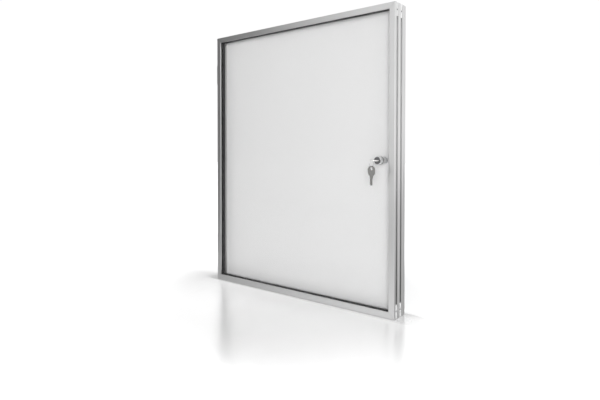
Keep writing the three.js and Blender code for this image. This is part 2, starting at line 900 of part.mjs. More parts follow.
board.add(frame("case", caseProfile(), caseSlotCentre, caseFront));
board.add(piece("case_seal", caseSeal(), blackRubber));
const coreFront = panelFront + magneticSheet + seatGap;
board.add(piece("magnetic_sheet", panelSheet(panelFront, magneticSheet), whiteEnamel));
board.add(piece("core_board", panelSheet(coreFront, coreBoard), fibreboard));
board.add(piece("rear_sheet", panelSheet(coreFront + coreBoard + seatGap, rearSheet), galvanised));
const hangerX = rightSide - hangerFromEnd;
board.add(piece("hanger_left", hanger(-hangerX), galvanised));
board.add(piece("hanger_right", hanger(hangerX), galvanised));

board.add(frame("door", doorProfile(), doorSlotCentre, 0));
board.add(piece("glazing_bead", glazingBead(), blackRubber));
board.add(piece("clear_pane", clearPane(), clearAcrylic));

for (const [name, z] of Object.entries(hingeHeights)) board.add(hinge(name, z));
board.add(lock());

const group = new THREE.Group();
group.add(board);

export default group;
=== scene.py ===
import math

import bmesh
import bpy
from bpy.props import FloatProperty, FloatVectorProperty, PointerProperty
from bpy.types import Operator, Panel, PropertyGroup
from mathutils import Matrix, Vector
from mathutils.geometry import tessellate_polygon


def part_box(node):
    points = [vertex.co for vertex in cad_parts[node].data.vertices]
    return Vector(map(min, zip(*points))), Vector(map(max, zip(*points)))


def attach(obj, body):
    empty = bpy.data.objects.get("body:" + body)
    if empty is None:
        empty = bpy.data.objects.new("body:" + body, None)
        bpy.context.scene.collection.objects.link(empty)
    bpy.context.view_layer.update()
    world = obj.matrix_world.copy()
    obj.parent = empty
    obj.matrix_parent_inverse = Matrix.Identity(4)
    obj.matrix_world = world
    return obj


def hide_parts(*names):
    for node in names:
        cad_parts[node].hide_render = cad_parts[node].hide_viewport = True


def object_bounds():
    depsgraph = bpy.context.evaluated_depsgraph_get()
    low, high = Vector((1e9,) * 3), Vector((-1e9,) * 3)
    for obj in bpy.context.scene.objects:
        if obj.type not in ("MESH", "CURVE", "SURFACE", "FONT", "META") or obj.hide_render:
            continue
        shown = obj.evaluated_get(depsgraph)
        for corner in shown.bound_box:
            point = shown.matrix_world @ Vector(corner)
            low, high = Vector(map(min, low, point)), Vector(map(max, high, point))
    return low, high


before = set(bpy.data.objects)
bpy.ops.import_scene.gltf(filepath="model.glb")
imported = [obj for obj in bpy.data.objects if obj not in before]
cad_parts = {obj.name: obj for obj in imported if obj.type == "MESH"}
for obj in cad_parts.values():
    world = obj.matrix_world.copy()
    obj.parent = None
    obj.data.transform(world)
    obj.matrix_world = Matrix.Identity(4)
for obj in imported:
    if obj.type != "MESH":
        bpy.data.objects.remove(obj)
CAD_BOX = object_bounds()

bl_info = {
    "name": "Lockable Notice Board",
    "version": (1, 0, 0),
    "blender": (4, 5, 0),
    "location": "3D View > Sidebar > Notice Board",
    "description": "Finishes and small fittings of a glazed, lockable notice board",
    "category": "Object",
}

MM = 0.001
FOOT = CAD_BOX[0].z
DOOR_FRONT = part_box("door_rail_top")[0].y

BLACK = (0, 0, 0)
WHITE = (1, 1, 1)
FLOOR_WHITE = (0.88, 0.88, 0.88)
PALE_RUBBER = (0.6, 0.6, 0.6)
HINGE_STEEL = (0.56, 0.565, 0.57)
SCREW_STEEL = (0.5, 0.5, 0.5)
RING_STEEL = (0.7, 0.7, 0.71)
# Painted dark: a painted reflection on the lock's plug, and painted shade on the corner screws in
# their sockets.
PLATING_PAINTED_DARK = (0.14, 0.14, 0.145)
BRIGHT_NICKEL = (0.86, 0.855, 0.84)
# Painted reflection: the spare key's dark nickel stands in for the dark room that it mirrors.
NICKEL_PAINTED_DARK = (0.27, 0.268, 0.262)
# Painted reflection: the lock face's dark chrome stands in for the dark room that it mirrors.
CHROME_FACE_PAINTED_REFLECTION = (0.16, 0.16, 0.165)
CHROME_DULL = (0.8, 0.805, 0.81)
CHROME_CLEAN = (0.87, 0.875, 0.88)

SHARP_EDGE = math.radians(40)
SMOOTH_EDGE = math.radians(32)


# Settings


class BoardSettings(PropertyGroup):
    """Colours and textures of the board."""

    anodised: FloatVectorProperty(
        name="Anodised aluminium",
        description="Colour of the frame extrusions",
        default=(0.665, 0.665, 0.665),
        subtype="COLOR",
        min=0,
        max=1,
    )
    anodised_roughness: FloatProperty(
        name="Anodised roughness",
        description="How much the frame extrusions blur what they reflect",
        default=0.33,
        subtype="FACTOR",
        min=0,
        max=1,
    )
    connector: FloatVectorProperty(
        name="Connector plastic",
        description="Colour of the corner connectors in the slots",
        default=(0.565, 0.565, 0.565),
        subtype="COLOR",
        min=0,
        max=1,
    )
    rubber: FloatVectorProperty(
        name="Rubber",
        description="Colour of the glazing bead, the seal and the lock's front washer",
        default=(0.009, 0.009, 0.0095),
        subtype="COLOR",
        min=0,
        max=1,
    )
    enamel: FloatVectorProperty(
        name="Panel enamel",
        description="Colour of the magnetic sheet",
        default=(0.86, 0.86, 0.86),
        subtype="COLOR",
        min=0,
        max=1,
    )
    pane_tint: FloatVectorProperty(
        name="Pane tint",
        description="Colour of the light that the pane lets through",
        default=(0.987, 0.987, 0.987),
        subtype="COLOR",
        min=0,
        max=1,
    )
    zinc: FloatVectorProperty(
        name="Zinc",
        description="Colour of the plated sheet, cam and hangers",
        default=(0.56, 0.58, 0.6),
        subtype="COLOR",
        min=0,
        max=1,
    )
    fibreboard: FloatVectorProperty(
        name="Fibreboard",
        description="Colour of the core board's edges",
        default=(0.3, 0.2, 0.12),
        subtype="COLOR",
        min=0,
        max=1,
    )
    edge_radius: FloatProperty(
        name="Edge radius",
        description="Rounding of the edges of extrusions, leaves and sheet",
        default=0.25 * MM,
        subtype="DISTANCE",
        unit="LENGTH",
        min=0,
    )


class FastenerSettings(PropertyGroup):
    """Sizes of the screws."""

    corner_head: FloatProperty(
        name="Corner screw head",
        description="Radius of the screw heads in the corner connectors",
        default=1.95 * MM,
        subtype="DISTANCE",
        unit="LENGTH",
    )
    corner_inset: FloatProperty(
        name="Corner screw inset",
        description="Distance of the screws from the corner of the frame",
        default=17.5 * MM,
        subtype="DISTANCE",
        unit="LENGTH",
    )
    corner_depth: FloatProperty(
        name="Corner screw depth",
        description="Depth of the screw heads below the frame's side",
        default=0.7 * MM,
        subtype="DISTANCE",
        unit="LENGTH",
    )
    hinge_head: FloatProperty(
        name="Hinge screw head",
        description="Radius of the countersunk hinge screw heads",
        default=3.8 * MM,
        subtype="DISTANCE",
        unit="LENGTH",
    )
    hinge_spacing: FloatProperty(
        name="Hinge screw spacing",
        description="Distance between the two screws of a leaf",
        default=36 * MM,
        subtype="DISTANCE",
        unit="LENGTH",
    )
    hanger_head: FloatProperty(
        name="Hanger screw head",
        description="Radius of the screw heads under the hangers",
        default=3.6 * MM,
        subtype="DISTANCE",
        unit="LENGTH",
    )
    hanger_spacing: FloatProperty(
        name="Hanger screw spacing",
        description="Distance between the two screws of a hanger",
        default=28 * MM,
        subtype="DISTANCE",
        unit="LENGTH",
    )


class KeySettings(PropertyGroup):
    """Sizes of a key. Its overall length, width and thickness come from the frame."""

    blade: FloatProperty(
        name="Blade",
        description="Length of the blade",
        default=18 * MM,
        subtype="DISTANCE",
        unit="LENGTH",
    )
    blade_width: FloatProperty(
        name="Blade width",
        description="Width of the blade",
        default=6.4 * MM,
        subtype="DISTANCE",
        unit="LENGTH",
    )
    neck: FloatProperty(
        name="Neck",
        description="Length of the neck between blade and bow",
        default=6 * MM,
        subtype="DISTANCE",
        unit="LENGTH",
    )
    neck_width: FloatProperty(
        name="Neck width",
        description="Width of the neck",
        default=8 * MM,
        subtype="DISTANCE",
        unit="LENGTH",
    )
    neck_straight: FloatProperty(
        name="Straight neck",
        description="Length of the neck before it widens to the bow",
        default=4.5 * MM,
        subtype="DISTANCE",
        unit="LENGTH",
    )
    bar: FloatProperty(
        name="Bow rim",
        description="Width of the bow between its hole and its end",
        default=2.6 * MM,
        subtype="DISTANCE",
        unit="LENGTH",
    )
    hole_length: FloatProperty(
        name="Hole length",
        description="Length of the hole in the bow",
        default=8 * MM,
        subtype="DISTANCE",
        unit="LENGTH",
    )
    hole_width: FloatProperty(
        name="Hole width",
        description="Width of the hole in the bow",
        default=6.4 * MM,
        subtype="DISTANCE",
        unit="LENGTH",
    )


class StageSettings(PropertyGroup):
    """Light, floor and camera."""

    dome: FloatProperty(
        name="Dome",
        description="Strength of the even light from all round",
        default=0.26,
        min=0,
    )
    backdrop: FloatProperty(
        name="Backdrop",
        description="Strength of the white that is seen or mirrored behind the board",
        default=1.02,
        min=0,
    )
    key_power: FloatProperty(
        name="Key light",
        description="Power of the soft lamp in front of the board, on the lock side",
        default=205,
        subtype="POWER",
        unit="POWER",
        min=0,
    )
    side_power: FloatProperty(
        name="Side light",
        description="Power of the soft lamp beside the board, which casts its shadow sideways",
        default=240,
        subtype="POWER",
        unit="POWER",
        min=0,
    )
    floor_glow: FloatProperty(
        name="Floor glow",
        description="Share of the floor's white that no shadow takes away",
        default=0.36,
        subtype="FACTOR",
        min=0,
        max=1,
    )
    floor_gloss: FloatProperty(
        name="Floor gloss",
        description="Share of reflection in the floor close to the board",
        default=0.7,
        subtype="FACTOR",
        min=0,
        max=1,
    )
    lens: FloatProperty(
        name="Lens",
        description="Focal length of the camera",
        default=29.638,
        subtype="DISTANCE_CAMERA",
        min=1,
    )
    lens_shift: FloatProperty(
        name="Lens shift",
        description="Upward shift of the lens, as a share of the picture's width",
        default=-0.06459,
    )
    camera_place: FloatVectorProperty(
        name="Camera place",
        description="Where the camera stands",
        default=(0.861, -1.0996, -0.3486),
        subtype="TRANSLATION",
        unit="LENGTH",
    )
    camera_turn: FloatVectorProperty(
        name="Camera turn",
        description="Pitch, roll and yaw of the camera",
        default=(math.radians(88.95), math.radians(-0.035), math.radians(38.753)),
        subtype="EULER",
        unit="ROTATION",
    )


# Shader maths


def socket_of(sockets, key):
    """The socket with this name, identifier or number."""
    if isinstance(key, int):
        return sockets[key]
    for socket in sockets:
        if socket.identifier == key:
            return socket
    return sockets[key]


class Value:
    """The output of a node, for use in Python sums."""

    def __init__(self, nodes, node, socket):
        self.nodes = nodes
        self.node = node
        self.socket = socket

    def output(self, key):
        return Value(self.nodes, self.node, socket_of(self.node.outputs, key))

    def maths(self, operation, first, second):
        return self.nodes.node("ShaderNodeMath", {"operation": operation}, {0: first, 1: second})

    def __add__(self, other):
        return self.maths("ADD", self, other)

    def __radd__(self, other):
        return self.maths("ADD", other, self)

    def __sub__(self, other):
        return self.maths("SUBTRACT", self, other)

    def __rsub__(self, other):
        return self.maths("SUBTRACT", other, self)

    def __mul__(self, other):
        return self.maths("MULTIPLY", self, other)

    def __rmul__(self, other):
        return self.maths("MULTIPLY", other, self)

    def __pow__(self, other):
        return self.maths("POWER", self, other)

    def __abs__(self):
        return self.at_least(0 - self)

    def at_least(self, other):
        return self.maths("MAXIMUM", self, other)

    def at_most(self, other):
        return self.maths("MINIMUM", self, other)


class Nodes:
    """A node tree that grows with Python sums."""

    def __init__(self, tree):
        self.tree = tree

    def fill(self, socket, value):
        if isinstance(value, Value):
            self.tree.links.new(value.socket, socket)
        elif socket.type == "RGBA" and len(value) == 3:
            socket.default_value = (*value, 1)
        else:
            socket.default_value = value

    def node(self, kind, settings=None, inputs=None):
        node = self.tree.nodes.new(kind)
        for key, value in (settings or {}).items():
            setattr(node, key, value)
        for key, value in (inputs or {}).items():
            self.fill(socket_of(node.inputs, key), value)
        shown = [s for s in node.outputs if s.enabled]
        return Value(self, node, shown[0])

    def span(self, value, low, high, start=0.0, end=1.0):
        """Spreads value from low..high to start..end, and holds the ends."""
        settings = {"interpolation_type": "SMOOTHSTEP"}
        inputs = {
            "Value": value,
            "From Min": low,
            "From Max": high,
            "To Min": start,
            "To Max": end,
        }
        return self.node("ShaderNodeMapRange", settings, inputs)


class Finish(Nodes):
    """A material with one main shader and the nodes that shape it."""

    def __init__(self, name, colour=WHITE, roughness=0.5, metallic=0.0):
        self.material = bpy.data.materials.new(name)
        self.material.use_nodes = True
        super().__init__(self.material.node_tree)
        self.shader = self.tree.nodes["Principled BSDF"]
        self.set("Base Color", colour)
        self.set("Roughness", roughness)
        self.set("Metallic", metallic)

    def set(self, name, value):
        self.fill(self.shader.inputs[name], value)

    def main_shader(self):
        return Value(self, self.shader, self.shader.outputs[0])

    def end_with(self, shader):
        """Makes another shader the one that the material shows."""
        self.fill(self.tree.nodes["Material Output"].inputs["Surface"], shader)

    def emission(self, strength):
        inputs = {"Color": WHITE, "Strength": strength}
        return self.node("ShaderNodeEmission", None, inputs)

    def place(self):
        """The position on the board at rest, in metres."""
        return self.node("ShaderNodeTexCoord").output("Object")

    def axes(self):
        split = self.node("ShaderNodeSeparateXYZ", None, {0: self.place()})
        return split.output("X"), split.output("Y"), split.output("Z")

    def stretched(self, x, y, z):
        """The position with a scale of its own along each axis."""
        inputs = {0: self.place(), 1: (x, y, z)}
        return self.node("ShaderNodeVectorMath", {"operation": "MULTIPLY"}, inputs)

    def noise(self, vector, detail, scale=1.0):
        inputs = {"Vector": vector, "Scale": scale, "Detail": detail}
        return self.node("ShaderNodeTexNoise", None, inputs)

    def mix(self, factor, first, second):
        inputs = {"Factor_Float": factor, "A_Color": first, "B_Color": second}
        return self.node("ShaderNodeMix", {"data_type": "RGBA"}, inputs)

    def bump(self, height, distance, strength):
        inputs = {"Height": height, "Distance": distance, "Strength": strength}
        self.set("Normal", self.node("ShaderNodeBump", None, inputs))


def shade(colour, share):
    """A colour made lighter or darker by a share."""
    return tuple(min(1, c * share) for c in colour)


def grain_along(axis, along, across):
    """Noise scales for lines that run along one axis."""
    return tuple(along if name == axis else across for name in "XYZ")


# Finishes


def inside_slots(finish):
    """Masks for the T-slots of the frames: the whole slot, which gets painted shade and painted
    light, and the dull part near its mouth.
    """
    x, y, z = finish.axes()
    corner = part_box("case_rail_top")[1]
    depth = (corner.x - abs(x)).at_most((corner.z - z).at_most(z - FOOT))
    windows = []
    for part in ("door", "case"):
        low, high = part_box(f"{part}_corner_top_right")
        off = y - (low.y + high.y) / 2
        reach = (high.y - low.y) / 2
        windows.append(finish.span(abs(off), reach + 0.3 * MM, reach + 0.5 * MM, 1, 0))
    mouth = finish.span(depth, 0.3 * MM, 1 * MM)
    bottom = finish.span(depth, 7.6 * MM, 8 * MM, 1, 0)
    inside = mouth * bottom * windows[0].at_least(windows[1])
    return inside, inside * finish.span(depth, 1.5 * MM, 2 * MM, 1, 0.15)


def extruded_metal(name, settings, along):
    """Satin anodised aluminium with die lines along one axis, and slots with painted shade low down
    and painted light higher up.
    """
    colour = tuple(settings.anodised)
    finish = Finish(name, colour, metallic=1)
    lines = finish.noise(finish.stretched(*grain_along(along, 6, 2600)), detail=2)
    bands = finish.noise(finish.stretched(*grain_along(along, 1.5, 240)), detail=3)
    grain = finish.noise(finish.place(), scale=5200, detail=1)
    cloud = finish.noise(finish.place(), scale=9, detail=3)
    tone = finish.mix(lines * 0.5 + bands * 0.5, shade(colour, 0.95), shade(colour, 1.05))
    outside = finish.mix(cloud * 0.25, tone, shade(colour, 0.93))
    inside, dull = inside_slots(finish)
    # Painted shade and painted light: the slots' colour runs from dark at the foot to light higher
    # up, as the light falls.
    dark_end, light_end = FOOT, -0.25
    painted_slot_light = finish.span(finish.axes()[2], dark_end, light_end)
    slots = finish.mix(painted_slot_light, shade(colour, 0.55), shade(colour, 1.16))
    finish.set("Base Color", finish.mix(inside, outside, slots))
    satin = settings.anodised_roughness + (cloud - 0.5) * 0.08 + (bands - 0.5) * 0.1
    finish.set("Roughness", satin + dull * 0.25)
    finish.set("Metallic", 1 - dull * 0.7)
    finish.bump(lines * 0.7 + grain * 0.3, 0.006 * MM, 0.5)
    return finish.material


def moulded_plastic(name, colour):
    """Smooth plastic with faint flow marks."""
    finish = Finish(name, colour)
    grain = finish.noise(finish.place(), scale=3600, detail=2)
    flow = finish.noise(finish.place(), scale=160, detail=2)
    finish.set("Base Color", finish.mix(flow, shade(colour, 0.95), shade(colour, 1.03)))
    finish.set("Roughness", 0.46 + (grain - 0.5) * 0.15)
    finish.bump(grain, 0.02 * MM, 0.5)
    return finish.material


def soft_rubber(name, colour):
    """Matt rubber with a little dust on it."""
    finish = Finish(name, colour)
    finish.set("Specular IOR Level", 0.25)
    grain = finish.noise(finish.place(), scale=4200, detail=3)
    dust = finish.noise(finish.place(), scale=70, detail=4)
    finish.set("Base Color", finish.mix(dust * 0.35, colour, shade(colour, 2.2)))
    finish.set("Roughness", 0.52 + dust * 0.2)
    finish.bump(grain, 0.02 * MM, 0.6)
    return finish.material


def panel_enamel(name, colour):
    """Stoved white enamel on sheet steel, with a faint orange peel."""
    finish = Finish(name, colour)
    peel = finish.noise(finish.place(), scale=420, detail=2)
    cloud = finish.noise(finish.place(), scale=4, detail=3)
    finish.set("Base Color", finish.mix(cloud, shade(colour, 0.985), shade(colour, 1.01)))
    finish.set("Roughness", 0.3 + cloud * 0.1)
    finish.bump(peel, 0.02 * MM, 0.15)
    return finish.material


def zinc_plate(name, colour, spangle):
    """Zinc on steel, with its crystal pattern; a larger spangle number makes finer crystals."""
    finish = Finish(name, colour, metallic=1)
    warp = finish.noise(finish.place(), scale=spangle, detail=2)
    shift = 6 * MM
    drift = finish.node(
        "ShaderNodeVectorMath",
        {"operation": "MULTIPLY_ADD"},
        {0: warp.output("Color"), 1: (shift, shift, shift), 2: finish.place()},
    )
    inputs = {"Vector": drift, "Scale": spangle}
    cells = finish.node("ShaderNodeTexVoronoi", {"feature": "F1"}, inputs).output("Color")
    cell = finish.node("ShaderNodeSeparateXYZ", None, {0: cells}).output("X")
    fine = finish.noise(finish.place(), scale=2400, detail=2)
    finish.set("Base Color", finish.mix(cell, shade(colour, 0.82), shade(colour, 1.12)))
    finish.set("Roughness", 0.34 + cell * 0.14 + (fine - 0.5) * 0.1)
    finish.bump(fine, 0.01 * MM, 0.4)
    return finish.material


def fibre(name, colour):
    """Raw fibreboard, as its edges show it."""
    finish = Finish(name, colour, roughness=0.85)
    strands = finish.noise(finish.stretched(900, 2600, 900), detail=4)
    finish.set("Base Color", finish.mix(strands, shade(colour, 0.6), shade(colour, 1.4)))
    finish.bump(strands, 0.1 * MM, 0.6)
    return finish.material


def satin_steel(name, colour, along):
    """Steel with a short brushed grain along one axis."""
    finish = Finish(name, colour, metallic=1)
    grain = finish.noise(finish.stretched(*grain_along(along, 40, 3400)), detail=2)
    wear_and_painted_reflection = finish.noise(finish.place(), scale=120, detail=3)
    finish.set("Base Color", finish.mix(grain, shade(colour, 0.9), shade(colour, 1.08)))
    finish.set("Roughness", 0.24 + grain * 0.12 + (wear_and_painted_reflection - 0.5) * 0.12)
    finish.bump(grain, 0.008 * MM, 0.5)
    return finish.material


def plating_marks(finish):
    """The haze from handling and the hairline scratches of plated parts."""
    haze = finish.noise(finish.place(), scale=260, detail=3)
    scratch = finish.noise(finish.stretched(5200, 300, 1400), detail=3)
    finish.bump(scratch, 0.004 * MM, 0.4)
    return haze, scratch


def bright_plate(name, colour, roughness, metallic=1.0):
    """Plated metal with its marks; a lower metallic makes it paler and softer."""
    finish = Finish(name, colour, roughness, metallic)
    haze, scratch = plating_marks(finish)
    finish.set("Base Color", finish.mix(haze, shade(colour, 0.94), shade(colour, 1.04)))
    finish.set("Roughness", roughness * (0.7 + haze * 0.6) + (scratch - 0.5).at_least(0) * 0.25)
    return finish.material


def lock_chrome(name, face):
    """Plating gone soft on the sides, but still polished on the lock's face, whose dark colour is a
    painted reflection.
    """
    finish = Finish(name)
    haze, _ = plating_marks(finish)
    front = finish.span(finish.axes()[1], face + 0.1 * MM, face + 0.35 * MM, 1, 0)
    sides = finish.mix(haze, CHROME_DULL, CHROME_CLEAN)
    # The lock's face gets a dark colour as a painted reflection.
    finish.set("Base Color", finish.mix(front, sides, CHROME_FACE_PAINTED_REFLECTION))
    finish.set("Roughness", 0.3 - front * 0.14 + (haze - 0.5) * 0.1)
    finish.set("Metallic", 0.5 + front * 0.5)
    return finish.material


def clear_pane(name, tint):
    """Clear glazing that lets the lamps through to the panel behind it."""
    finish = Finish(name, tint, roughness=0.02)
    finish.set("Transmission Weight", 1)
    finish.set("IOR", 1.3)
    path = finish.node("ShaderNodeLightPath")
    passing = path.output("Is Shadow Ray").at_least(path.output("Is Diffuse Ray"))
    film = finish.node("ShaderNodeBsdfTransparent", None, {"Color": tint})
    inputs = {0: passing, 1: finish.main_shader(), 2: film}
    finish.end_with(finish.node("ShaderNodeMixShader", None, inputs))
    return finish.material


def dress(node, material):
    """Gives a frame node its material."""
    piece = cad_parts[node]
    piece.data.materials.clear()
    piece.data.materials.append(material)
    return piece


def add_bevel(piece, width, segments, harden=False):
    bevel = piece.modifiers.new("edges", "BEVEL")
    bevel.width = width
    bevel.segments = segments
    bevel.limit_method = "ANGLE"
    bevel.angle_limit = SHARP_EDGE
    bevel.harden_normals = harden


def soften(piece, width):
    """Rounds the sharp edges of a frame node."""
    weld = piece.modifiers.new("weld", "WELD")
    weld.merge_threshold = 0.002 * MM
    add_bevel(piece, width, segments=2)


# Shapes in mesh code


def arc(x, y, radius, start, end, steps):
    turn = (end - start) / steps
    angles = [math.radians(start + turn * i) for i in range(steps + 1)]
    return [(x + radius * math.cos(a), y + radius * math.sin(a)) for a in angles]


def circle(radius, steps=40):
    return arc(0, 0, radius, 0, 360, steps)[:-1]


def plus_shape(reach, half):
    """The outline of a cross recess."""
    quarter = [(reach, -half), (reach, half), (half, half)]
    points = []
    for turn in range(4):
        for x, y in quarter:
            for _ in range(turn):
                x, y = -y, x
            points.append((x, y))
    return points


def add_bands(bm, rings):
    """Joins each ring of vertices to the next one."""
    for near, far in zip(rings, rings[1:]):
        for i, vertex in enumerate(near):
            j = (i + 1) % len(near)
            bm.faces.new((vertex, near[j], far[j], far[i]))


def add_prism(bm, loops, low, high, place):
    """A plate with holes: its first loop is the outline; place puts (u, v, height) on the board."""
    ends = []
    for height in (low, high):
        ends.append([[bm.verts.new(place(u, v, height)) for u, v in loop] for loop in loops])
    for near, far in zip(*ends):
        add_bands(bm, [near, far])
    flat = tessellate_polygon([[Vector((u, v, 0)) for u, v in loop] for loop in loops])
    for end in ends:
        vertices = [v for loop in end for v in loop]
        for a, b, c in flat:
            bm.faces.new((vertices[a], vertices[b], vertices[c]))


def add_turned(bm, profile, place, steps, closed=False):
    """Turns a profile of (radius, height) points; closed joins its last point to its first."""
    rings = []
    for radius, height in profile:
        rings.append([bm.verts.new(place(u, v, height)) for u, v in circle(radius, steps)])
    add_bands(bm, rings + rings[:1] if closed else rings)


def add_screw(bm, place, head, shaft, head_height, length):
    """A screw with a cross recess; its head is at height 0 and its shaft at positive heights."""
    recess = head_height * 0.55
    rim = head * 0.12
    cross = plus_shape(head * 0.62, head * 0.15)
    add_prism(bm, [circle(head), cross], 0, recess, place)
    profile = [
        (0, recess),
        (head, recess),
        (head - rim, head_height),
        (shaft, head_height),
        (shaft, length),
        (0, length),
    ]
    add_turned(bm, profile, place, steps=40)


def finish_piece(bm, name, material, body, replaces=(), edge=0.0):
    """Makes the piece from its mesh, and lets it ride on its body."""
    smallest_area = 1e-14
    bmesh.ops.remove_doubles(bm, verts=bm.verts, dist=0.0005 * MM)
    flat = [f for f in bm.faces if f.calc_area() < smallest_area]
    bmesh.ops.delete(bm, geom=flat, context="FACES_ONLY")
    bmesh.ops.recalc_face_normals(bm, faces=bm.faces)
    mesh = bpy.data.meshes.new(name)
    bm.to_mesh(mesh)
    bm.free()
    mesh.materials.append(material)
    mesh.shade_smooth()
    mesh.set_sharp_from_angle(angle=SMOOTH_EDGE)
    piece = bpy.data.objects.new(name, mesh)
    bpy.context.scene.collection.objects.link(piece)
    if edge:
        add_bevel(piece, edge, segments=3, harden=True)
    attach(piece, body)
    if replaces:
        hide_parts(*replaces)


# Pieces


class NOTICE_OT_frames(Operator):
    """Finishes the mitred extrusions of the case and the door"""

    bl_idname = "notice_board.frames"
    bl_label = "Frames"

    def execute(self, context):
        settings = context.scene.notice_board
        across = extruded_metal("anodised_across", settings, "X")
        upright = extruded_metal("anodised_upright", settings, "Z")
        for part in ("case", "door"):
            for side in ("rail_top", "rail_bottom", "stile_left", "stile_right"):
                material = across if side.startswith("rail") else upright
                soften(dress(f"{part}_{side}", material), settings.edge_radius)
        return {"FINISHED"}


class NOTICE_OT_connectors(Operator):
    """Finishes the corner connectors and makes their clamping screws"""

    bl_idname = "notice_board.connectors"
    bl_label = "Corner connectors"

    def execute(self, context):
        settings = context.scene.notice_board
        sizes = context.scene.notice_fasteners
        plastic = moulded_plastic("connector_plastic", tuple(settings.connector))
        # The corner screws are coloured dark as painted shade in their sockets.
        steel = bright_plate("corner_screw_steel", PLATING_PAINTED_DARK, roughness=0.3)
        for part in ("case", "door"):
            bm = bmesh.new()
            for level in ("top", "bottom"):
                for side in ("left", "right"):
                    node = f"{part}_corner_{level}_{side}"
                    soften(dress(node, plastic), settings.edge_radius)
                    self.add_screws(bm, node, level, side, sizes)
            finish_piece(bm, f"{part}_corner_screws", steel, part)
        return {"FINISHED"}

    def add_screws(self, bm, node, level, side, sizes):
        """Adds one screw from the frame's side and one from its end."""
        low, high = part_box(node)
        middle = (low.y + high.y) / 2
        right = 1 if side == "right" else -1
        up = 1 if level == "top" else -1
        outer_x = high.x if right > 0 else low.x
        outer_z = high.z if up > 0 else low.z
        inset, depth = sizes.corner_inset, sizes.corner_depth

        def from_side(u, v, h):
            return (outer_x - right * (depth + h), middle + u, outer_z - up * inset + v)

        def from_end(u, v, h):
            return (outer_x - right * inset + u, middle + v, outer_z - up * (depth + h))

        head = sizes.corner_head
        for place in (from_side, from_end):
            add_screw(bm, place, head, shaft=head * 0.6, head_height=1.6 * MM, length=4 * MM)


class NOTICE_OT_glazing(Operator):
    """Finishes the pane, the glazing bead and the seal"""

    bl_idname = "notice_board.glazing"
    bl_label = "Glazing"

    def execute(self, context):
        settings = context.scene.notice_board
        rubber = soft_rubber("black_rubber", tuple(settings.rubber))
        dress("glazing_bead", rubber)
        dress("case_seal", rubber)
        dress("clear_pane", clear_pane("clear_glazing", tuple(settings.pane_tint)))
        return {"FINISHED"}


class NOTICE_OT_panel(Operator):
    """Finishes the magnetic sheet, the core board and the rear sheet"""

    bl_idname = "notice_board.panel"
    bl_label = "Back panel"

    def execute(self, context):
        settings = context.scene.notice_board
        zinc = zinc_plate("galvanised_sheet", tuple(settings.zinc), spangle=34)
        dress("magnetic_sheet", panel_enamel("white_enamel", tuple(settings.enamel)))
        dress("core_board", fibre("fibreboard", tuple(settings.fibreboard)))
        dress("rear_sheet", zinc)
        return {"FINISHED"}


class NOTICE_OT_hinges(Operator):
    """Finishes the hinge leaves and pins, and makes the slot nuts with their screws"""

    bl_idname = "notice_board.hinges"
    bl_label = "Hinges"

    def execute(self, context):
        settings = context.scene.notice_board
        sizes = context.scene.notice_fasteners
        steel = satin_steel("hinge_steel", HINGE_STEEL, "Z")
        screw = bright_plate("hinge_screw_steel", SCREW_STEEL, roughness=0.26)
        for end in ("lower", "upper"):
            soften(dress(f"hinge_pin_{end}", steel), settings.edge_radius)
            for part in ("case", "door"):
                soften(dress(f"hinge_{part}_leaf_{end}", steel), settings.edge_radius)
                self.make_fixing(part, end, sizes, screw)
        return {"FINISHED"}

    def make_fixing(self, part, end, sizes, material):
        """One slot nut with its two screws, in place of the frame's plainer fixing."""
        node = f"hinge_{part}_fixing_{end}"
        low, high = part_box(node)
        middle = (low.y + high.y) / 2
        centre = (low.z + high.z) / 2
        width, half = (high.y - low.y) / 2, (high.z - low.z) / 2
        nut_front, nut_back = 5 * MM, 8 * MM
        head = sizes.hinge_head

        def plate(u, v, h):
            return (low.x + h, middle + u, centre + v)

        bm = bmesh.new()
        outline = [(-width, -half), (width, -half), (width, half), (-width, half)]
        add_prism(bm, [outline], nut_front, nut_back, plate)
        for way in (-1, 1):
            shift = way * sizes.hinge_spacing / 2
            add_screw(
                bm,
                lambda u, v, h: plate(u, v + shift, h),
                head,
                shaft=head * 0.52,
                head_height=1.9 * MM,
                length=high.x - low.x,
            )
        name = f"hinge_{part}_screws_{end}"
        finish_piece(bm, name, material, part, [node])


